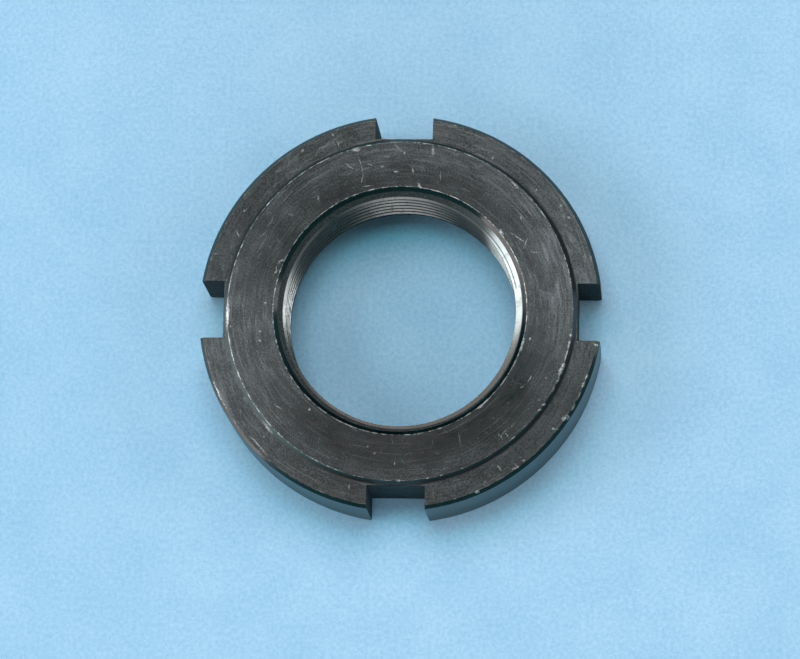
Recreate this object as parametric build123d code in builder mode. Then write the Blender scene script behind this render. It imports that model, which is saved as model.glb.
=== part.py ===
from build123d import *
import os
from math import radians, sqrt, tan

# Slotted round nut, M30 x 1.5, for a hook spanner. All sizes are in millimetres.
# The nut lies flat on its plain face, with its axis along Z and its raised clamping face up.
# The origin is the middle of the plain face.

# Overall sizes
outside_diameter = 50.0  # across the rim that the spanner slots are cut into
total_height = 10.0  # from the plain face to the clamping face

# Raised clamping face
boss_diameter = 42.8  # flat part of the clamping face, across its outer edge
boss_height = 0.55  # how far the clamping face stands above the rim
boss_flank_width = 0.5  # width of the sloping step that runs down to the rim

# Broken outer edges of the rim
top_chamfer = 0.45
foot_chamfer = 0.3

# Threaded bore, drawn at the tips of its thread
thread_diameter = 30.0
thread_pitch = 1.5
tip_clearance = 0.2  # how much wider the bore is than the thread's basic inner diameter
bore_edge_chamfer = 0.5  # broken edge between each face and its countersink
countersink_margin = 0.2  # how far past the thread's outer radius each countersink starts
countersink_angle = 120.0

# Spanner slots, cut through the whole height of the rim
slot_count = 4
slot_width = 7.15
slot_depth = 3.1  # from the outside diameter down to the flat slot floor

# A 60 degree thread is 5/8 of its sharp triangle deep, and that triangle is sqrt(3)/2 pitches high.
thread_depth = thread_pitch * sqrt(3) / 2 * 5 / 8
bore_radius = thread_diameter / 2 - thread_depth + tip_clearance / 2
countersink_radius = thread_diameter / 2 + countersink_margin
countersink_depth = (countersink_radius - bore_radius) / tan(radians(countersink_angle / 2))
mouth_radius = countersink_radius + bore_edge_chamfer
mouth_depth = bore_edge_chamfer + countersink_depth

rim_radius = outside_diameter / 2
rim_height = total_height - boss_height
boss_radius = boss_diameter / 2
slot_floor = rim_radius - slot_depth

with BuildPart() as slotted_nut:
    # The turned body is one half section, swept round the axis. It is drawn from the plain face's
    # outer edge, up the rim, over the step of the clamping face and back down the bore.
    with BuildSketch(Plane.XZ) as section:
        with BuildLine() as outline:
            Polyline(
                (mouth_radius, 0),
                (rim_radius, 0),
                (rim_radius, rim_height),
                (boss_radius + boss_flank_width, rim_height),
                (boss_radius, total_height),
                (mouth_radius, total_height),
                (countersink_radius, total_height - bore_edge_chamfer),
                (bore_radius, total_height - mouth_depth),
                (bore_radius, mouth_depth),
                (countersink_radius, bore_edge_chamfer),
                close=True,
            )
        make_face()
    revolve(axis=Axis.Z)

    # The rim's two outer edges are the widest circles of the body, one at its foot and one at its top.
    foot_edge, top_edge = (
        slotted_nut.edges()
        .filter_by(GeomType.CIRCLE)
        .filter_by(lambda edge: abs(edge.radius - rim_radius) < top_chamfer / 10)
        .sort_by(Axis.Z)
    )
    chamfer(foot_edge, foot_chamfer)
    chamfer(top_edge, top_chamfer)

    # Each slot runs out through the rim, and its floor is a flat square to the slot's own direction.
    with BuildSketch() as slot_pattern:
        with PolarLocations(slot_floor, slot_count):
            Rectangle(2 * slot_depth, slot_width, align=(Align.MIN, Align.CENTER))
    extrude(amount=total_height, mode=Mode.SUBTRACT)

slotted_nut.part.label = "slotted_nut"

os.makedirs("parts", exist_ok=True)
export_step(slotted_nut.part, "parts/slotted_nut.step")
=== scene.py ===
from math import atan, cos, pi, radians, sin, sqrt, tan

import bmesh
import bpy
import numpy as np
from mathutils import Matrix, Vector


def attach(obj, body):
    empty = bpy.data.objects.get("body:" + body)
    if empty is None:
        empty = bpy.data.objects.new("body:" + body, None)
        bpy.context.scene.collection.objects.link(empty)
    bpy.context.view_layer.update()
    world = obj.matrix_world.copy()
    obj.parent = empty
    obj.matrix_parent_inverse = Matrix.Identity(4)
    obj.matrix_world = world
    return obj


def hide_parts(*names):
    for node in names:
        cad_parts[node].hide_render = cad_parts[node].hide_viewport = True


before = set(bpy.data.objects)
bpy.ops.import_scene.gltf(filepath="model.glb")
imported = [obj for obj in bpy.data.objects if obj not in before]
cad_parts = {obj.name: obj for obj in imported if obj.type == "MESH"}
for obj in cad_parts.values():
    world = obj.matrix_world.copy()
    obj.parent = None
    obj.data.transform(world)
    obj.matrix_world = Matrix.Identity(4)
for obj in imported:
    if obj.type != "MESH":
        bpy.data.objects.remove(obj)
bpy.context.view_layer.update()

# Sizes of the nut in millimetres, as in the part's source
RIM_RADIUS = 25.0
HEIGHT = 10.0
BOSS_RADIUS = 21.4
BOSS_FOOT_RADIUS = 21.84
RIM_HEIGHT = 9.45
TOP_CHAMFER = 0.45
FOOT_CHAMFER = 0.3
SLOT_HALF_WIDTH = 3.575
SLOT_FLOOR = 21.9
SLOT_COUNT = 4

# Thread, M30 x 1.5, right-hand
PITCH = 1.5
THREAD_RADIUS = 15.0
ROOT_RADIUS = 15.16  # the tap has cut a sharp root
CREST_RADIUS = 14.288
THREAD_SLOPE = sqrt(3)  # radial change along a 60 degree flank for each millimetre of height
CREST_AT_NORTH = 1.25  # height of a crest's middle where the helix passes the +Y axis
EDGE_RADIUS = 15.7  # where the bore's broken edge meets the face
EDGE_DEPTH = 0.5  # the broken edge is cut at 45 degrees
CONE_RADIUS = 15.2  # where the 120 degree countersink starts
CREASE_RADIUS = 14.62  # where the spiral crease on the countersink starts
CREASE_START = radians(12)  # azimuth where it starts

# Fine ridges that turning left on the upper faces
RIDGE_TILT = 0.45  # their slope
RIDGES_PER_MM = 9.0
RIDGE_WAVER = 6.0  # how many ridges the mottle can shift them by
BUMP_HEIGHT = 0.02  # full height of the shading's turning lines and grain

# How fine the mesh is
SLOT_STEPS = 34  # along a slot's floor
TOOTH_STEPS = 126  # along a tooth
FACE_STEPS = 12  # across the clamping face
FLANK_STEPS = 2  # down the step beside it
RIM_STEPS = 8  # across a tooth's upper face
WALL_STEPS = 9  # down a tooth's outer wall
UNDER_STEPS = 4  # across a tooth's plain face
PLAIN_STEPS = 8  # across the plain face inside the teeth
SPARE_TURNS = 3  # of the thread, below and above the bore
EDGE_BREAK = 0.07  # width of the tiny round that is left on each sharp edge
CREST_BREAK = 0.02  # height of the corner that is taken off the thread's crests
ROUND_ANGLE = radians(20)  # an outer edge that bends more than this gets a round
SPLIT_ANGLE = radians(12)  # at any other edge that bends more than this, the shading is split
STRIP_COLUMNS = np.array([0, 0.06, 0.5, 0.94, 1])  # columns across a slot's wall, as shares of its width
WELD_DISTANCE = 0.0001  # points that are closer than this become one
METRES = 0.001  # one millimetre in metres

CORNER_AZIMUTH = atan(SLOT_HALF_WIDTH / SLOT_FLOOR)
CORNER_RADIUS = SLOT_FLOOR / cos(CORNER_AZIMUTH)
QUARTER = 2 * pi / SLOT_COUNT
BASIC_CREST = THREAD_RADIUS - sqrt(3) / 2 * PITCH * 5 / 8


def polar(radius, azimuth, height):
    """Points in space from a radius, an azimuth in radians and a height, each a number or an array."""
    radius, azimuth, height = np.broadcast_arrays(radius, azimuth, height)
    return np.stack([radius * np.cos(azimuth), radius * np.sin(azimuth), height], axis=-1)


def spread(start, end, steps):
    """Numbers from start to end that lie closer together near both ends, where the edges are."""
    share = (1 - np.cos(np.linspace(0, pi, steps + 1))) / 2
    return start + (end - start) * share


def joined(*stretches):
    """One row of numbers from stretches that each start where the last one ended."""
    return np.concatenate([stretches[0]] + [stretch[1:] for stretch in stretches[1:]])


def slot_azimuths(slot):
    return slot * QUARTER + np.linspace(-CORNER_AZIMUTH, CORNER_AZIMUTH, SLOT_STEPS + 1)


def tooth_azimuths(tooth):
    start = tooth * QUARTER + CORNER_AZIMUTH
    return np.linspace(start, start + QUARTER - 2 * CORNER_AZIMUTH, TOOTH_STEPS + 1)


def all_azimuths():
    """The azimuth of every mesh column, once round from the first slot's corner."""
    quarters = [joined(slot_azimuths(quarter), tooth_azimuths(quarter)) for quarter in range(SLOT_COUNT)]
    return joined(*quarters)


class Skin:
    """Grids of points that are welded into one closed surface."""

    def __init__(self):
        self.points = []
        self.quads = []
        self.count = 0

    def add(self, grid):
        rows, columns = grid.shape[:2]
        index = self.count + np.arange(rows * columns).reshape(rows, columns)
        corners = [index[:-1, :-1], index[1:, :-1], index[1:, 1:], index[:-1, 1:]]
        self.quads.append(np.stack(corners, axis=-1).reshape(-1, 4))
        self.points.append(grid.reshape(-1, 3))
        self.count += rows * columns

    def weld(self):
        """A bmesh of all grids, in which points that fall together are one."""
        points = np.concatenate(self.points)
        cells = np.round(points / WELD_DISTANCE).astype(np.int64)
        _, first, inverse = np.unique(cells, axis=0, return_index=True, return_inverse=True)
        quads = inverse.reshape(-1)[np.concatenate(self.quads)]
        mesh = bmesh.new()
        corners = [mesh.verts.new(point) for point in points[first]]
        for quad in quads:
            ring = [v for i, v in enumerate(quad) if v != quad[i - 1]]
            if len(ring) > 2:
                mesh.faces.new([corners[v] for v in ring])
        bmesh.ops.recalc_face_normals(mesh, faces=mesh.faces)
        return mesh


def add_turned_faces(skin):
    """The faces that run all the way round: the clamping face, its step, and the inner plain face."""
    azimuth = all_azimuths()
    flank = np.linspace(BOSS_RADIUS, BOSS_FOOT_RADIUS, FLANK_STEPS + 1)
    radius = joined(spread(EDGE_RADIUS, BOSS_RADIUS, FACE_STEPS), flank)
    height = np.interp(radius, [BOSS_RADIUS, BOSS_FOOT_RADIUS], [HEIGHT, RIM_HEIGHT])
    skin.add(polar(radius[:, None], azimuth[None, :], height[:, None]))
    plain = spread(BOSS_FOOT_RADIUS, EDGE_RADIUS, PLAIN_STEPS)
    skin.add(polar(plain[:, None], azimuth[None, :], 0.0))


def tooth_profile():
    """Radius and height down the section of a tooth, from the step's foot to the plain face."""
    rim_edge = RIM_RADIUS - TOP_CHAMFER
    foot_edge = RIM_RADIUS - FOOT_CHAMFER
    inner = np.array([BOSS_FOOT_RADIUS, CORNER_RADIUS])
    top = joined(inner, spread(CORNER_RADIUS, rim_edge, RIM_STEPS))
    wall = spread(RIM_HEIGHT - TOP_CHAMFER, FOOT_CHAMFER, WALL_STEPS)
    under = joined(spread(foot_edge, CORNER_RADIUS, UNDER_STEPS), inner[::-1])
    radius = np.concatenate([top, np.full(len(wall), RIM_RADIUS), under])
    height = np.concatenate([np.full(len(top), RIM_HEIGHT), wall, np.zeros(len(under))])
    return radius, height


def tooth_grid(tooth):
    """A tooth's skin. Its columns fan out so that the first and last lie in the flat slot walls."""
    radius, height = tooth_profile()
    azimuth = tooth_azimuths(tooth)
    share = np.linspace(0, 1, len(azimuth))
    wall = np.arcsin(SLOT_HALF_WIDTH / np.maximum(radius, CORNER_RADIUS))
    start = tooth * QUARTER + wall[:, None]
    fanned = start + share[None, :] * (QUARTER - 2 * wall[:, None])
    return polar(radius[:, None], fanned, height[:, None])


def slot_grid(slot, steps):
    """The flat floor of a slot with the narrow strips of the rim and the plain face beside it."""
    azimuth = slot_azimuths(slot)
    floor = SLOT_FLOOR / np.cos(azimuth - slot * QUARTER)
    heights = spread(RIM_HEIGHT, 0, steps)
    inner = np.full_like(floor, BOSS_FOOT_RADIUS)
    radius = np.vstack([inner, np.tile(floor, (len(heights), 1)), inner])
    height = np.concatenate([[RIM_HEIGHT], heights, [0.0]])
    return polar(radius, azimuth[None, :], height[:, None])


def add_teeth_and_slots(skin):
    """The teeth, the slot floors, and the two flat walls that join each tooth to the floors beside it."""
    # A slot's grid has as many rows as a tooth's. The walls join them row by row, without the innermost.
    rows = len(tooth_profile()[0])
    walls = slice(1, rows - 1)
    share = STRIP_COLUMNS[None, :, None]
    for quarter in range(SLOT_COUNT):
        tooth = tooth_grid(quarter)
        slot = slot_grid(quarter, rows - 3)
        following = slot_grid((quarter + 1) % SLOT_COUNT, rows - 3)
        skin.add(tooth)
        skin.add(slot)
        for edge, floor in ((tooth[walls, 0], slot[walls, -1]), (tooth[walls, -1], following[walls, 0])):
            skin.add(floor[:, None] * (1 - share) + edge[:, None] * share)


def thread_radius(offset):
    """Radius of the thread's section at a height offset from the middle of a crest."""
    offset = np.abs((offset + PITCH / 2) % PITCH - PITCH / 2)
    flank = BASIC_CREST + (offset - PITCH / 8) * THREAD_SLOPE
    return np.clip(flank, CREST_RADIUS, ROOT_RADIUS)


def cone_radius(height):
    """Radius of the two 120 degree countersinks, of which the nearer one counts."""
    depth = np.minimum(height, HEIGHT - height) - EDGE_DEPTH
    return CONE_RADIUS - depth * THREAD_SLOPE


def add_bore(skin):
    """The threaded bore. Its rows follow the helix and run out into the two countersinks."""
    azimuth = all_azimuths()
    corner = PITCH / 8 + (CREST_RADIUS - BASIC_CREST) / THREAD_SLOPE
    half_break = CREST_BREAK / 2
    corners = np.array([
        -PITCH / 2, -corner - half_break, -corner + half_break, corner - half_break, corner + half_break
    ])
    turns = np.arange(-SPARE_TURNS, int(HEIGHT / PITCH) + SPARE_TURNS)
    rows = (CREST_AT_NORTH + turns[:, None] * PITCH + corners[None, :]).reshape(-1)
    # The seam lies on the first column, so a row there meets the row one pitch above it. All that would
    # run out of the bore is clipped to its ends.
    climb = PITCH * (azimuth - pi / 2) / (2 * pi)
    height = np.clip(rows[:, None] + climb[None, :], EDGE_DEPTH, HEIGHT - EDGE_DEPTH)
    thread = thread_radius(height - CREST_AT_NORTH - climb[None, :])
    cone = cone_radius(height)
    # Between two rows, one more runs where the countersink cuts the thread.
    gap = thread - cone
    crossed = gap[:-1] * gap[1:] < 0
    share = np.where(crossed, gap[:-1] / np.where(crossed, gap[:-1] - gap[1:], 1), 1)
    between = height[:-1] + (height[1:] - height[:-1]) * share
    radius = np.maximum(thread, cone)
    cut_radius = np.where(crossed, cone_radius(between), radius[1:])
    full = np.empty((2 * len(rows) - 1, len(azimuth), 3))
    full[0::2] = polar(radius, azimuth[None, :], height)
    full[1::2] = polar(cut_radius, azimuth[None, :], between)
    skin.add(full)
    ring = np.array([EDGE_RADIUS, CONE_RADIUS])
    for face, inside in ((0.0, EDGE_DEPTH), (HEIGHT, HEIGHT - EDGE_DEPTH)):
        skin.add(polar(ring[:, None], azimuth[None, :], np.array([face, inside])[:, None]))


def weigh_edges(mesh):
    """Marks the outer edges that get a tiny round, and splits the shading at all other sharp ones."""
    weight = mesh.edges.layers.float.new("bevel_weight_edge")
    in_bore = EDGE_RADIUS - 0.05
    for edge in mesh.edges:
        angle = edge.calc_face_angle_signed()
        outside = min(Vector(v.co[:2]).length for v in edge.verts) > in_bore
        if outside and angle > ROUND_ANGLE:
            edge[weight] = 1.0
        elif abs(angle) > SPLIT_ANGLE:
            edge.smooth = False


def build_nut():
    skin = Skin()
    add_turned_faces(skin)
    add_teeth_and_slots(skin)
    add_bore(skin)
    shape = skin.weld()
    weigh_edges(shape)
    for face in shape.faces:
        face.smooth = True
    bmesh.ops.scale(shape, vec=Vector((METRES,) * 3), verts=shape.verts)
    mesh = bpy.data.meshes.new("nut_finish")
    shape.to_mesh(mesh)
    shape.free()
    nut = bpy.data.objects.new("nut_finish", mesh)
    bpy.context.scene.collection.objects.link(nut)
    rounds = nut.modifiers.new("edge_rounds", "BEVEL")
    rounds.limit_method = "WEIGHT"
    rounds.width = EDGE_BREAK * METRES
    rounds.segments = 2
    rounds.use_clamp_overlap = False
    rounds.harden_normals = True
    return nut


# Shading. In these functions g is the graph that the nodes go into, and here is the shaded point.

# Colours of the finish
COLD_BLACK = (0.006, 0.010, 0.011, 1)
WARM_BLACK = (0.016, 0.014, 0.013, 1)
# This grey also carries the painted sheen of the upper faces.
SCUFF_AND_SHEEN_GREY = (0.086, 0.092, 0.094, 1)
SMOOTH_DARK = (0.001, 0.005, 0.006, 1)
# The blue-green in this colour and in the lighter slot and rim colours below is black oxide with a painted
# reflection of the blue paper.
SMOOTH_OXIDE_PAPER_REFLECTION = (0.006, 0.022, 0.026, 1)
SLOT_DARK = (0.001, 0.005, 0.007, 1)
SLOT_OXIDE_PAPER_REFLECTION = (0.008, 0.034, 0.042, 1)
RIM_OXIDE_PAPER_REFLECTION = (0.002, 0.034, 0.042, 1)
# A highlight painted on the step's flank:
STEP_HIGHLIGHT = (0.070, 0.105, 0.105, 1)
# Shade painted black at the step's foot:
STEP_FOOT_SHADE = (0.002, 0.003, 0.003, 1)
BARE_STEEL = (0.58, 0.575, 0.56, 1)
BRIGHT_STEEL = (0.90, 0.90, 0.88, 1)
PAPER_DARK = (0.305, 0.555, 0.762, 1)
PAPER_LIGHT = (0.440, 0.690, 0.878, 1)

# Sides of the nut where the finish and its painted light and shade differ, as azimuths in degrees
SHEEN_SIDE = 58.1  # the upper faces are painted lighter here, as sheen, and scuffed most
SHADE_SIDE = 281.5  # the clamping face is painted darker here, as shade, and scuffed least
FAINT_SIDE = 301.9  # the two outer edges are worn least
# where a highlight is painted on the step's flank
STEP_HIGHLIGHT_SIDE = 216.9
# where shade is painted at the step's foot
STEP_SHADE_SIDE = 320.3


class Graph:
    """The shader nodes of a material or a world, written as formulas."""

    def __init__(self, owner):
        self.owner = owner
        owner.use_nodes = True
        self.tree = owner.node_tree
        self.tree.nodes.clear()

    def feed(self, socket, value):
        if isinstance(value, bpy.types.NodeSocket):
            self.tree.links.new(value, socket)
        else:
            socket.default_value = value

    def add(self, kind, inputs=None, **settings):
        node = self.tree.nodes.new("ShaderNode" + kind)
        for key, value in settings.items():
            setattr(node, key, value)
        for key, value in (inputs or {}).items():
            self.feed(node.inputs[key], value)
        return node

    def math(self, operation, *values):
        node = self.add("Math", operation=operation)
        for socket, value in zip(node.inputs, values):
            self.feed(socket, value)
        return node.outputs[0]

    def chain(self, operation, values):
        """One number from a row of them, joined two at a time."""
        result = values[0]
        for value in values[1:]:
            result = self.math(operation, result, value)
        return result

    def product(self, *values):
        return self.chain("MULTIPLY", values)

    def total(self, *values):
        return self.chain("ADD", values)

    def highest(self, *values):
        return self.chain("MAXIMUM", values)

    def difference(self, value, taken):
        return self.math("SUBTRACT", value, taken)

    def vector(self, operation, *values, output=0):
        node = self.add("VectorMath", operation=operation)
        for socket, value in zip(node.inputs, values):
            self.feed(socket, value)
        return node.outputs[output]

    def scaled(self, vector, scale):
        inputs = {"Vector": vector, "Scale": scale}
        return self.add("VectorMath", inputs, operation="SCALE").outputs[0]

    def length(self, vector):
        return self.vector("LENGTH", vector, output=1)

    def dot(self, vector, other):
        return self.vector("DOT_PRODUCT", vector, other, output=1)

    def combine(self, x, y, z):
        return self.add("CombineXYZ", {"X": x, "Y": y, "Z": z}).outputs[0]

    def separate(self, vector):
        return self.add("SeparateXYZ", {"Vector": vector}).outputs

    def ramp(self, value, low, high, start=0.0, end=1.0, kind="SMOOTHSTEP"):
        """A number that goes from start to end while the value goes from low to high."""
        inputs = {"Value": value, "From Min": low, "From Max": high, "To Min": start, "To Max": end}
        return self.add("MapRange", inputs, interpolation_type=kind).outputs[0]

    def noise(self, vector, scale, detail=2.0, roughness=0.5):
        inputs = {"Vector": vector, "Scale": scale, "Detail": detail, "Roughness": roughness}
        return self.add("TexNoise", inputs).outputs[0]

    def mix(self, share, a, b):
        """Colour a where the share is 0, and colour b where it is 1."""
        node = self.add("Mix", data_type="RGBA")
        for index, value in ((0, share), (6, a), (7, b)):
            self.feed(node.inputs[index], value)
        return node.outputs[2]

    def blend(self, share, a, b):
        """Number a where the share is 0, and number b where it is 1."""
        node = self.add("Mix", data_type="FLOAT")
        for index, value in ((0, share), (2, a), (3, b)):
            self.feed(node.inputs[index], value)
        return node.outputs[0]


def band(g, value, middle, half_width, soft):
    """1 where a value lies within half a width of the middle, fading to 0 over a soft margin."""
    away = g.math("ABSOLUTE", g.difference(value, middle))
    return g.ramp(away, half_width + soft, half_width)


def facing(g, outward, azimuth):
    """1 on the side of the nut that an azimuth in degrees points to, and -1 on the side across."""
    azimuth = radians(azimuth)
    return g.dot(outward, (cos(azimuth), sin(azimuth), 0.0))


def turned_noise(g, outward, around, distance, across, detail, roughness):
    """Noise that the lathe drew out round the axis.

    It has its own scale around the axis and another one across, along a distance in millimetres."""
    x, y, _ = g.separate(outward)
    stretched = g.combine(g.product(x, around), g.product(y, around), g.product(distance, across))
    return g.noise(stretched, 1.0, detail=detail, roughness=roughness)


def sheen_and_wear_patches(g, outward, radius):
    """Painted sheen on the upper faces on one side and near the rim, painted shade on the other side,
    and the scuffing that goes with them.
    """
    # The first mask is the side where sheen is painted, the second the side where shade is painted.
    rubbed = g.product(g.ramp(facing(g, outward, SHEEN_SIDE), -0.5, 0.9), g.ramp(radius, 17.0, 19.5))
    shaded = g.product(g.ramp(facing(g, outward, SHADE_SIDE), 0.1, 0.95), g.ramp(radius, 21.0, 18.6))
    sheen_and_wear = g.difference(g.product(rubbed, 0.055), g.product(shaded, 0.075))
    return g.total(sheen_and_wear, g.ramp(radius, 17.2, 19.8, -0.015, 0.02))


class Place:
    """Where a shaded point lies on the nut, in millimetres, and the patterns that several looks share."""

    def __init__(self, g):
        self.point = g.scaled(g.add("TexCoord").outputs["Object"], 1 / METRES)
        self.x, self.y, self.z = g.separate(self.point)
        self.plan = g.combine(self.x, self.y, 0.0)
        self.radius = g.length(self.plan)
        self.outward = g.vector("NORMALIZE", self.plan)
        self.rise = g.separate(g.add("NewGeometry").outputs["True Normal"])[2]
        self.level = g.math("GREATER_THAN", g.math("ABSOLUTE", self.rise), 0.5)
        self.find_parts(g)
        self.find_patterns(g)

    def find_parts(self, g):
        """Masks of the parts of the nut that look different from each other."""
        self.top = g.product(g.ramp(self.rise, 0.9, 0.97), g.ramp(self.z, 9.2, 9.4))
        upright = g.difference(1.0, self.level)
        in_slot = g.product(g.ramp(self.radius, 24.95, 24.85), g.ramp(self.radius, 20.0, 20.5))
        self.slot_wall = g.product(upright, in_slot)
        self.rim_wall = g.product(upright, g.ramp(self.radius, 24.85, 24.95))
        step_middle = (BOSS_RADIUS + BOSS_FOOT_RADIUS) / 2
        above_rim = g.ramp(self.z, 9.3, 9.4)
        self.step = g.product(band(g, self.radius, step_middle, 0.2, 0.05), above_rim)
        self.step_foot = g.product(band(g, self.radius, BOSS_FOOT_RADIUS - 0.1, 0.22, 0.1), above_rim)
        # The side where shade is painted at the step's foot; it also sets the step's roughness there.
        self.step_shade_side = g.ramp(facing(g, self.outward, STEP_SHADE_SIDE), -0.2, 0.6)
        self.in_bore = g.ramp(self.radius, CONE_RADIUS + 0.02, CONE_RADIUS - 0.02)

    def find_patterns(self, g):
        """Turning lines, smears along them, a broad mottle, a fine grain, and painted sheen and shade round
        the nut.
        """
        across = g.blend(self.level, self.z, self.radius)
        self.turning = turned_noise(g, self.outward, 4.0, across, 3.6, detail=4.0, roughness=0.8)
        self.smear = turned_noise(g, self.outward, 6.0, across, 1.3, detail=4.0, roughness=0.65)
        self.mottle = g.noise(self.point, 0.3, detail=6.0, roughness=0.62)
        self.grain = g.noise(self.point, 5.0, detail=3.0, roughness=0.75)
        self.sheen_and_wear = sheen_and_wear_patches(g, self.outward, self.radius)


def oxide_color(g, here):
    """The black oxide: scuffed grey with painted sheen and shade on the upper faces, and on all others
    smooth black, tinted blue-green by a painted reflection of the blue paper.
    """
    tone = g.total(
        g.product(here.turning, 0.45),
        g.product(here.smear, 0.2),
        g.product(here.mottle, 0.35),
        g.product(g.difference(here.grain, 0.5), 0.95),
        here.sheen_and_wear,
    )
    warmth = g.ramp(g.noise(here.point, 0.8, detail=3.0), 0.4, 0.65)
    # The tone holds the painted sheen and shade, so the scuffed grey carries them.
    scuffed = g.mix(g.ramp(tone, 0.43, 0.65), g.mix(warmth, COLD_BLACK, WARM_BLACK), SCUFF_AND_SHEEN_GREY)
    # The lighter blue-green here is a painted reflection of the blue paper.
    smooth = g.mix(g.ramp(tone, 0.35, 0.7), SMOOTH_DARK, SMOOTH_OXIDE_PAPER_REFLECTION)
    # Slot walls: patina, with a painted reflection of the blue paper in the lighter colour.
    patina = g.ramp(g.noise(here.point, 1.6, detail=3.0), 0.4, 0.62)
    smooth = g.mix(here.slot_wall, smooth, g.mix(patina, SLOT_DARK, SLOT_OXIDE_PAPER_REFLECTION))
    # The rim walls get one teal colour all round: a painted reflection of the blue paper.
    smooth = g.mix(here.rim_wall, smooth, RIM_OXIDE_PAPER_REFLECTION)
    return g.mix(here.top, smooth, scuffed)


def step_color(g, here, color):
    """The colour with a highlight painted on the step's flank in the south-west, and shade painted black at
    its foot in the south-east.
    """
    # Painted highlight on the flank where it faces south-west.
    highlit = g.ramp(facing(g, here.outward, STEP_HIGHLIGHT_SIDE), 0.6, 0.97)
    color = g.mix(g.product(here.step, highlit), color, STEP_HIGHLIGHT)
    # Painted shade in the corner at the step's foot, on the south-east side.
    return g.mix(g.product(here.step_foot, here.step_shade_side), color, STEP_FOOT_SHADE)


def worn_bore(g, here):
    """How bare the countersink and the thread's upper flanks are, from 0 for black to 1.

    A spiral crease starts on the countersink and runs out into its edge one turn later. What lies
    inside it has rubbed bare, what lies outside it only next to its start. Along the crease runs a thin
    black line of painted shade. Two stretches of the northern wall are left black."""
    azimuth = g.difference(g.math("ARCTAN2", here.y, here.x), CREASE_START)
    turn = g.math("FRACT", g.math("DIVIDE", azimuth, 2 * pi))
    crease = g.ramp(turn, 0.5, 1.0, CREASE_RADIUS, CONE_RADIUS, kind="LINEAR")
    inside = g.ramp(g.difference(crease, here.radius), 0.0, 0.05)
    cone = g.ramp(here.radius, CONE_RADIUS + 0.02, CONE_RADIUS - 0.04)
    start = g.product(g.ramp(turn, 0.16, 0.07), cone)
    # A thin line along the crease stays black: painted shade in the crease.
    line = band(g, g.difference(here.radius, crease), 0.0, 0.02, 0.05)
    streaks = turned_noise(g, here.outward, 14.0, here.z, 0.5, detail=4.0, roughness=0.7)
    north_east = g.product(band(g, turn, 0.118, 0.016, 0.03), 0.8)
    north_west = g.product(band(g, turn, 0.37, 0.015, 0.04), 0.6)
    bare = g.product(
        g.highest(inside, start),
        g.difference(1.0, line),
        g.ramp(streaks, 0.25, 0.5, 0.45, 0.75),
        g.difference(1.0, g.highest(north_east, north_west)),
    )
    inner = g.ramp(here.radius, CONE_RADIUS, CONE_RADIUS - 0.1)
    grainy = g.product(g.ramp(here.grain, 0.5, 0.8, 0.0, 0.35), inner)
    up = g.product(g.ramp(here.rise, 0.75, 0.85), here.in_bore)
    return g.product(g.highest(bare, grainy), up)


# The upper edges of the turned section. Each has its radius and height, the width of its bright
# line, and how much of the line is missing.
WORN_EDGES = (
    (EDGE_RADIUS, HEIGHT, 0.08, 0.40),
    (BOSS_RADIUS, HEIGHT, 0.09, 0.42),
    (RIM_RADIUS - TOP_CHAMFER, RIM_HEIGHT, 0.09, 0.5),
)


def worn_edges(g, here):
    """Broken bright lines along the upper edges. On their faint side the two outer ones have less."""
    chew = g.noise(here.point, 1.3, detail=5.0, roughness=0.75)
    faint = g.ramp(facing(g, here.outward, FAINT_SIDE), 0.1, 0.8, 0.0, 0.07)
    chew = g.difference(chew, g.product(faint, g.ramp(here.radius, 20.5, 20.8)))
    lines = []
    for edge_radius, edge_height, width, missing in WORN_EDGES:
        away = (g.difference(here.radius, edge_radius), g.difference(here.z, edge_height))
        distance = g.length(g.combine(*away, 0.0))
        reach = g.ramp(chew, missing, missing + 0.3, 0.2 * width, 1.5 * width)
        line = g.ramp(g.difference(distance, reach), 0.02, -0.04)
        lines.append(g.product(line, g.ramp(chew, missing - 0.1, missing + 0.2, 0.12, 1.0)))
    return g.product(g.highest(*lines), 0.95)


# Scratches, rubbed spots and dots on the upper faces, as far as the photo shows them. Each has its
# radius and azimuth, its length and width, its lean from the radius, and how bare it is.
NORTH_MARKS = (
    (21.2, 106.3, 1.1, 0.45, 70, 1.0), (20.6, 91.6, 1.7, 0.14, 44, 0.45), (20.0, 89.5, 0.35, 0.25, 0, 0.8),
    (20.6, 79.7, 1.2, 0.4, 15, 0.6), (15.95, 82.4, 0.9, 0.3, 45, 1.0), (19.3, 106.0, 2.6, 0.13, 2, 0.4),
    (17.4, 106.8, 1.4, 0.13, -27, 0.45), (19.4, 110.1, 1.2, 0.22, 38, 0.6), (18.4, 98.0, 0.3, 0.3, 0, 0.6),
    (17.6, 92.8, 0.8, 0.22, 85, 0.55), (17.8, 86.0, 0.8, 0.2, 14, 0.6), (17.6, 74.6, 1.4, 0.13, 16, 0.4),
    (18.9, 102.5, 0.7, 0.16, 60, 0.5), (19.6, 96.0, 0.9, 0.14, 80, 0.4), (16.3, 105.7, 1.4, 0.12, 80, 0.5),
    (24.1, 111.7, 0.4, 0.28, 0, 0.7), (22.7, 111.0, 0.6, 0.12, -19, 0.6), (24.0, 121.9, 0.3, 0.3, 0, 0.8),
)
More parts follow.
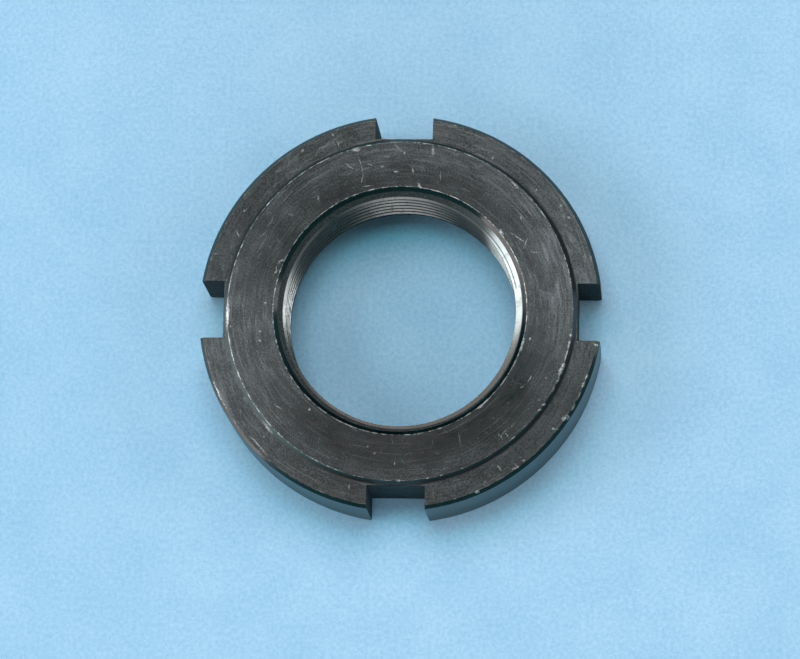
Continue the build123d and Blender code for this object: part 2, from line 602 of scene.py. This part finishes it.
WEST_MARKS = (
    (22.6, 154.7, 0.9, 0.18, -37, 0.7), (23.4, 147.5, 0.3, 0.3, 0, 0.7), (17.6, 126.5, 1.0, 0.16, -28, 0.6),
    (16.2, 158.6, 0.5, 0.15, -74, 0.6), (16.2, 162.1, 1.0, 0.12, -70, 0.5), (16.7, 177.5, 0.3, 0.3, 0, 0.7),
    (17.7, 193.1, 0.35, 0.3, 0, 0.8), (17.4, 189.5, 0.3, 0.2, 0, 0.6), (18.2, 139.0, 0.9, 0.12, 30, 0.4),
    (19.6, 151.0, 1.5, 0.12, 75, 0.35), (24.2, 163.0, 0.6, 0.14, 20, 0.5), (21.35, 182.0, 3.7, 0.42, 88, 1.4),
    (21.4, 172.0, 2.4, 0.16, 90, 0.7), (21.4, 196.0, 3.2, 0.14, 90, 0.7), (21.48, 203.0, 0.5, 0.25, 60, 0.8),
    (16.07, 157.8, 1.0, 0.16, 50, 0.8), (16.15, 163.2, 0.6, 0.2, 70, 0.8), (24.6, 205.0, 3.5, 0.16, 90, 0.6),
)
EAST_MARKS = (
    (22.5, 60.3, 0.3, 0.3, 0, 0.9), (22.7, 43.0, 0.3, 0.25, 0, 0.9), (21.2, 48.8, 1.4, 0.3, 86, 0.7),
    (19.0, 38.8, 0.7, 0.13, 52, 0.7), (17.2, 32.3, 2.6, 0.12, -65, 0.5), (17.6, 29.0, 1.6, 0.12, 40, 0.45),
    (18.2, 24.0, 1.2, 0.12, -30, 0.45), (23.9, 30.1, 0.3, 0.3, 0, 0.9), (23.9, 34.3, 0.3, 0.25, 0, 0.7),
    (15.85, 38.7, 0.9, 0.3, 86, 1.0), (21.35, 351.9, 0.5, 0.35, 0, 0.7), (21.35, 339.9, 1.5, 0.42, 88, 1.0),
    (15.85, 342.6, 0.7, 0.25, 88, 0.9), (15.8, 310.5, 0.9, 0.25, 88, 0.9), (16.5, 347.8, 0.3, 0.3, 0, 0.8),
    (18.3, 332.2, 0.9, 0.15, 88, 0.8), (18.0, 328.0, 0.5, 0.14, 60, 0.5), (20.5, 311.0, 1.1, 0.13, 0, 0.6),
    (20.2, 309.0, 1.1, 0.13, 0, 0.5), (24.6, 350.4, 0.5, 0.25, 0, 0.8), (24.5, 338.2, 0.9, 0.3, 88, 0.9),
    (24.5, 340.6, 0.7, 0.22, 80, 0.9), (24.6, 334.8, 1.2, 0.14, 90, 0.8), (24.65, 331.0, 1.0, 0.16, 88, 0.8),
    (21.4, 341.5, 0.7, 0.35, 88, 1.3), (21.35, 345.0, 1.5, 0.2, 89, 0.8), (21.35, 348.6, 1.2, 0.22, 88, 0.8),
    (21.45, 336.2, 0.9, 0.22, 88, 0.8), (21.5, 332.8, 0.8, 0.16, 90, 0.7), (21.45, 326.9, 0.5, 0.25, 60, 0.9),
    (21.4, 324.7, 0.5, 0.22, 60, 0.8), (20.65, 327.3, 0.4, 0.18, 40, 0.6), (15.8, 345.5, 1.2, 0.2, 88, 0.9),
    (15.75, 335.0, 1.2, 0.12, 90, 0.6), (15.75, 325.0, 1.4, 0.12, 90, 0.6),
    (15.75, 313.0, 1.8, 0.18, 89, 0.9),
)
SOUTH_MARKS = (
    (24.55, 327.3, 1.1, 0.5, 60, 0.9), (24.2, 322.8, 0.9, 0.22, 30, 0.6), (23.3, 302.9, 0.9, 0.16, 5, 0.6),
    (24.4, 306.6, 0.9, 0.2, 75, 0.8), (24.25, 309.8, 0.6, 0.18, 50, 0.8), (24.15, 307.4, 0.5, 0.18, 20, 0.5),
    (24.66, 293.9, 0.6, 0.3, 88, 1.0), (23.95, 297.2, 0.4, 0.18, 88, 0.7), (21.8, 222.7, 2.2, 0.4, 88, 0.45),
    (24.1, 225.1, 3.3, 0.22, 88, 0.5), (19.2, 219.9, 1.4, 0.14, -73, 0.4), (16.6, 229.3, 0.35, 0.3, 0, 0.8),
    (18.2, 261.6, 0.3, 0.25, 0, 0.6), (17.6, 258.4, 0.3, 0.25, 0, 0.6), (19.25, 269.5, 0.6, 0.13, 0, 0.6),
    (21.35, 271.0, 0.5, 0.25, 88, 0.8), (22.9, 255.6, 1.1, 0.12, 10, 0.5), (23.3, 262.0, 0.3, 0.3, 0, 0.6),
)
MARKS = NORTH_MARKS + WEST_MARKS + EAST_MARKS + SOUTH_MARKS

MARK_GLOW = 2.3  # strength in the middle of a mark whose bareness is 1. From 1 up the steel is bare.
MARK_REACH = 0.6  # where the strength has faded to 0 along a mark, as a share of its length
MARK_SPREAD = 0.65  # the same across a mark, as a share of its width


def hand_marks(g, here):
    """The marks above as one mask, and their barest spots as another. Their outlines waver."""
    noise = g.add("TexNoise", {"Vector": here.point, "Scale": 2.5}).outputs["Color"]
    waver = g.scaled(g.vector("SUBTRACT", noise, (0.5, 0.5, 0.5)), 0.25)
    flat = g.vector("MULTIPLY", g.vector("ADD", here.plan, waver), (1.0, 1.0, 0.0))
    glows = []
    for radius, azimuth, length, width, lean, bareness in MARKS:
        azimuth = radians(azimuth)
        spot = g.add("Mapping", {
            "Vector": flat,
            "Location": (radius * cos(azimuth), radius * sin(azimuth), 0.0),
            "Rotation": (0.0, 0.0, azimuth + radians(lean)),
            "Scale": (length * MARK_REACH, width * MARK_SPREAD, 1.0),
        }, vector_type="TEXTURE")
        glow = g.add("TexGradient", {"Vector": spot.outputs[0]}, gradient_type="SPHERICAL")
        glows.append(g.product(glow.outputs["Fac"], bareness * MARK_GLOW))
    mask = g.highest(*glows)
    upper = g.product(g.ramp(here.z, 9.0, 9.2), g.ramp(here.radius, EDGE_RADIUS - 0.15, EDGE_RADIUS))
    broken = g.product(g.ramp(g.noise(here.point, 5.0), 0.38, 0.56, 0.15, 1.0), upper)
    marks = g.product(g.math("MINIMUM", mask, 1.0), broken)
    bright = g.product(g.ramp(mask, 1.2, MARK_GLOW), broken)
    return marks, bright


def specks(g, here):
    """Pinpricks of bare steel. They are weaker where the mottle is dark."""
    cells = g.add("TexVoronoi", {"Vector": here.point, "Scale": 1.1, "Randomness": 1.0}, feature="F1")
    size = g.separate(cells.outputs["Color"])[0]
    reach = g.ramp(size, 0.86, 1.0, 0.0, 0.16, kind="LINEAR")
    speck = g.ramp(g.difference(cells.outputs["Distance"], reach), 0.03, -0.05)
    return g.product(speck, g.ramp(here.mottle, 0.4, 0.6, 0.2, 0.9))


def scratches(g, here, scale, reach):
    """Fine straight scratches, one in each cell of a random pattern, each with its own lean and length."""
    inputs = {"Vector": here.plan, "Scale": scale, "Randomness": 1.0}
    cells = g.add("TexVoronoi", inputs, feature="F1", voronoi_dimensions="2D")
    lean, length, depth = g.separate(cells.outputs["Color"])
    x, y, _ = g.separate(g.vector("SUBTRACT", here.plan, cells.outputs["Position"]))
    angle = g.product(lean, pi)
    along_x = g.math("COSINE", angle)
    along_y = g.math("SINE", angle)
    along = g.total(g.product(x, along_x), g.product(y, along_y))
    beside = g.difference(g.product(y, along_x), g.product(x, along_y))
    past_end = g.difference(g.math("ABSOLUTE", along), g.product(length, reach))
    thin = g.ramp(g.math("ABSOLUTE", beside), 0.07, 0.01)
    return g.product(g.ramp(past_end, 0.0, -0.15), thin, g.ramp(depth, 0.35, 1.0))


def fine_wear(g, here):
    """Specks, fine scratches, bright turning lines and smears on the upper faces."""
    dots = g.product(specks(g, here), 0.6)
    long_scratches = g.product(scratches(g, here, 0.33, 1.3), 0.28)
    short_scratches = g.product(scratches(g, here, 0.8, 0.5), 0.22)
    arcs = turned_noise(g, here.outward, 1.6, here.radius, 5.0, detail=2.0, roughness=0.8)
    arcs = g.ramp(arcs, 0.57, 0.70, 0.0, 0.16)
    lines = g.highest(long_scratches, short_scratches, arcs)
    lines = g.product(lines, g.ramp(here.grain, 0.3, 0.6, 0.4, 1.0))
    # Smears and rubbed spots gather on the side where sheen is painted.
    smears = g.ramp(g.total(here.smear, here.sheen_and_wear), 0.58, 0.78, 0.0, 0.28)
    rubbed = g.product(g.ramp(here.turning, 0.52, 0.68), g.ramp(here.sheen_and_wear, 0.03, 0.075, 0.0, 0.34))
    smears = g.product(g.highest(smears, rubbed), g.ramp(here.grain, 0.35, 0.6))
    return g.product(g.highest(dots, lines, smears), here.top)


def steel_roughness(g, here, bare_bore):
    """How rough each part of the nut is. The upper faces are smoother where they are rubbed."""
    rubbed = g.total(
        g.product(here.smear, 0.5),
        g.product(here.turning, 0.5),
        g.product(g.difference(here.grain, 0.5), 0.3),
    )
    upper = g.ramp(rubbed, 0.40, 0.60, 0.55, 0.24)
    rough = g.blend(here.top, g.ramp(here.mottle, 0.3, 0.7, 0.12, 0.22), upper)
    rough = g.blend(here.step, rough, g.ramp(here.step_shade_side, 0.0, 1.0, 0.5, 0.32))
    rough = g.blend(here.rim_wall, rough, 0.4)
    rough = g.blend(here.slot_wall, rough, 0.9)
    black_bore = g.product(here.in_bore, g.difference(1.0, bare_bore))
    return g.blend(black_bore, rough, 0.6)


def turned_normal(g, here):
    """Tilts the clamping face and the rim to and fro like the fine ridges that the lathe left."""
    ridge = g.total(g.product(here.radius, RIDGES_PER_MM), g.product(here.mottle, RIDGE_WAVER))
    side = g.ramp(g.math("FRACT", ridge), 0.45, 0.55, -1.0, 1.0)
    tilt = g.scaled(here.outward, g.product(side, RIDGE_TILT, here.top))
    normal = g.add("NewGeometry").outputs["Normal"]
    return g.vector("NORMALIZE", g.vector("ADD", normal, tilt))


def steel_bump(g, here):
    """The shading normal, roughened by the turning lines and the grain."""
    relief = g.total(g.product(here.turning, 0.7), g.product(here.grain, 0.4))
    return g.add("Bump", {
        "Strength": 0.3,
        "Distance": BUMP_HEIGHT * METRES,
        "Height": relief,
        "Normal": turned_normal(g, here),
    }).outputs[0]


def blackened_steel():
    """Black oxide, with bare steel in the bore, along the edges and in the marks where it has worn off."""
    g = Graph(bpy.data.materials.new("blackened_steel"))
    here = Place(g)
    bare_bore = worn_bore(g, here)
    marks, bright = hand_marks(g, here)
    bare = g.highest(bare_bore, worn_edges(g, here), marks, fine_wear(g, here))
    color = step_color(g, here, oxide_color(g, here))
    color = g.mix(bare, color, BARE_STEEL)
    color = g.mix(bright, color, BRIGHT_STEEL)
    shader = g.add("BsdfPrincipled", {
        "Base Color": color,
        "Metallic": g.highest(g.product(bare, 0.6), g.ramp(bare_bore, 0.0, 0.45)),
        "Roughness": steel_roughness(g, here, bare_bore),
        "IOR": 1.65,
        "Normal": steel_bump(g, here),
    })
    g.feed(g.add("OutputMaterial").inputs["Surface"], shader.outputs[0])
    return g.owner


def blue_paper():
    """Blue paper with a fine mottle on a faint cloudy one."""
    g = Graph(bpy.data.materials.new("blue_paper"))
    point = g.scaled(g.add("TexCoord").outputs["Object"], 1 / METRES)
    cloud = g.noise(point, 0.1, detail=3.0, roughness=0.6)
    blotch = g.noise(point, 1.9, detail=4.0, roughness=0.75)
    tone = g.total(g.product(cloud, 0.25), g.product(blotch, 0.75))
    color = g.mix(g.ramp(tone, 0.36, 0.64, kind="LINEAR"), PAPER_DARK, PAPER_LIGHT)
    shader = g.add("BsdfPrincipled", {"Base Color": color, "Roughness": 0.9, "Specular IOR Level": 0.2})
    g.feed(g.add("OutputMaterial").inputs["Surface"], shader.outputs[0])
    return g.owner


FLOOR_HALF = 3.0  # in metres
FLOOR_DROP = 0.02  # the paper lies this far below the nut, so that the two faces never meet


def build_floor():
    """The sheet of paper that the nut lies on."""
    mesh = bpy.data.meshes.new("floor")
    corners = [(x * FLOOR_HALF, y * FLOOR_HALF, 0) for x, y in ((-1, -1), (1, -1), (1, 1), (-1, 1))]
    mesh.from_pydata(corners, [], [(0, 1, 2, 3)])
    floor = bpy.data.objects.new("floor", mesh)
    bpy.context.scene.collection.objects.link(floor)
    floor.location.z = -FLOOR_DROP * METRES
    floor.data.materials.append(blue_paper())
    return floor


# Camera, in the nut's own frame. Lengths are in millimetres.
FOCAL_PIXELS = 3920.0  # focal length as a number of the photo's pixels
PICTURE_WIDTH = 800.0  # in pixels
SENSOR = 36.0
CAMERA_TILT = radians(12.76)  # from straight down
CAMERA_TURN = radians(19.21)  # of the camera's own place round the nut, from -Y towards +X
NUT_TURN = radians(1.35)  # of the nut on the table, against the picture's upright
CAMERA_DISTANCE = 493.25
NUT_RIGHT = 0.644  # how far right of the picture's middle the nut's middle lies
NUT_UP = 0.336  # and how far above it


def place_camera():
    """The photo's camera, which looks down from a little south of straight above the nut."""
    back = Vector((
        sin(CAMERA_TILT) * sin(CAMERA_TURN),
        -sin(CAMERA_TILT) * cos(CAMERA_TURN),
        cos(CAMERA_TILT),
    ))
    north = Vector((-sin(NUT_TURN), cos(NUT_TURN), 0))
    up = (north - back * north.dot(back)).normalized()
    right = up.cross(back)
    data = bpy.data.cameras.new("camera")
    data.sensor_width = SENSOR
    data.lens = FOCAL_PIXELS / PICTURE_WIDTH * SENSOR
    data.clip_start, data.clip_end = 0.01, 20
    camera = bpy.data.objects.new("camera", data)
    turn = Matrix((right, up, back)).transposed().to_4x4()
    place = (back * CAMERA_DISTANCE - right * NUT_RIGHT - up * NUT_UP) * METRES
    camera.matrix_world = Matrix.Translation(place) @ turn
    bpy.context.scene.collection.objects.link(camera)
    bpy.context.scene.camera = camera


# Light
LAMP_DISTANCE = 1.1  # in metres
STRIP_ELEVATION = 12  # of the two strips that light the paper alone, in degrees
STRIP_HEIGHT = 14  # as seen from the nut, in degrees too
ROOM_LOW = (0.08, 0.26, 0.27, 1)
ROOM_HIGH = (0.02, 0.05, 0.05, 1)
FAR_WALL = (0.40, 0.38, 0.37, 1)
BEHIND_CAMERA = (0.80, 0.82, 0.84, 1)


def sky_direction(azimuth, elevation):
    """The unit vector towards a place in the sky. Both angles are degrees."""
    azimuth, elevation = radians(azimuth), radians(elevation)
    return Vector((cos(azimuth) * cos(elevation), sin(azimuth) * cos(elevation), sin(elevation)))


def softbox(name, azimuth, elevation, width, height, radiance, tint):
    """A flat lamp that faces the nut. All angles are degrees. Radiance 1 is as bright as white paper."""
    data = bpy.data.lights.new(name, "AREA")
    data.shape = "RECTANGLE"
    data.size = 2 * LAMP_DISTANCE * tan(radians(width / 2))
    data.size_y = 2 * LAMP_DISTANCE * tan(radians(height / 2))
    data.energy = radiance * data.size * data.size_y * pi
    data.color = tint
    lamp = bpy.data.objects.new(name, data)
    away = sky_direction(azimuth, elevation)
    lamp.location = away * LAMP_DISTANCE
    lamp.rotation_mode = "QUATERNION"
    lamp.rotation_quaternion = away.to_track_quat("Z", "Y")
    bpy.context.scene.collection.objects.link(lamp)
    return lamp


def sky_spot(g, direction, azimuth, elevation, near, far):
    """1 within a small angle of a place in the sky, fading to 0 at a larger one. All angles are degrees."""
    closeness = g.dot(direction, sky_direction(azimuth, elevation))
    return g.ramp(closeness, cos(radians(far)), cos(radians(near)))


def studio_world():
    """A dark room. Its far wall and what stands behind the camera are a little lit."""
    world = bpy.data.worlds.new("studio")
    g = Graph(world)
    direction = g.add("TexCoord").outputs["Generated"]
    height = g.separate(direction)[2]
    color = g.mix(g.ramp(height, 0.0, 0.45), ROOM_LOW, ROOM_HIGH)
    wall = g.product(band(g, height, 0.35, 0.06, 0.10), sky_spot(g, direction, 120, 20, 50, 75))
    color = g.mix(wall, color, FAR_WALL)
    color = g.mix(sky_spot(g, direction, 267, 43, 8, 20), color, BEHIND_CAMERA)
    background = g.add("Background", {"Color": color})
    g.feed(g.add("OutputWorld").inputs["Surface"], background.outputs[0])
    bpy.context.scene.world = world


def light_scene():
    """Lamps that light the nut and the paper, from the one overhead to the lowest."""
    softbox("overhead_softbox", 95, 79, 30, 12, 8.1, (0.45, 0.97, 1.0))
    softbox("north_softbox", 95, 67, 40, 13, 5.4, (1.0, 0.61, 0.63))
    softbox("north_low_softbox", 95, 54, 40, 14, 2.6, (1.0, 0.77, 0.80))
    softbox("west_softbox", 182, 37, 40, 26, 3.2, (0.82, 0.94, 1.0))
    softbox("west_low_softbox", 190, 10, 56, 20, 2.8, (1.0, 0.88, 0.84))
    softbox("east_lamp", 9, 33, 22, 10, 4.2, (0.92, 0.97, 1.0))
    softbox("east_low_fill", 6, 9, 14, 12, 1.8, (0.95, 0.97, 1.0))


def light_paper(floor):
    """Two low strips brighten the paper alone, as if flags kept them off the nut."""
    paper_only = bpy.data.collections.new("paper_only")
    paper_only.objects.link(floor)
    front = softbox("front_strip", 275, STRIP_ELEVATION, 110, STRIP_HEIGHT, 6.7, (0.88, 0.93, 1.0))
    right = softbox("right_strip", 5, STRIP_ELEVATION, 50, STRIP_HEIGHT, 6.5, (1.0, 0.70, 0.64))
    for strip in (front, right):
        strip.light_linking.receiver_collection = paper_only


bpy.context.scene.view_settings.view_transform = "Standard"

nut = build_nut()
nut.data.materials.append(blackened_steel())
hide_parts("slotted_nut")
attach(nut, "root")

floor = build_floor()
place_camera()
light_scene()
light_paper(floor)
studio_world()
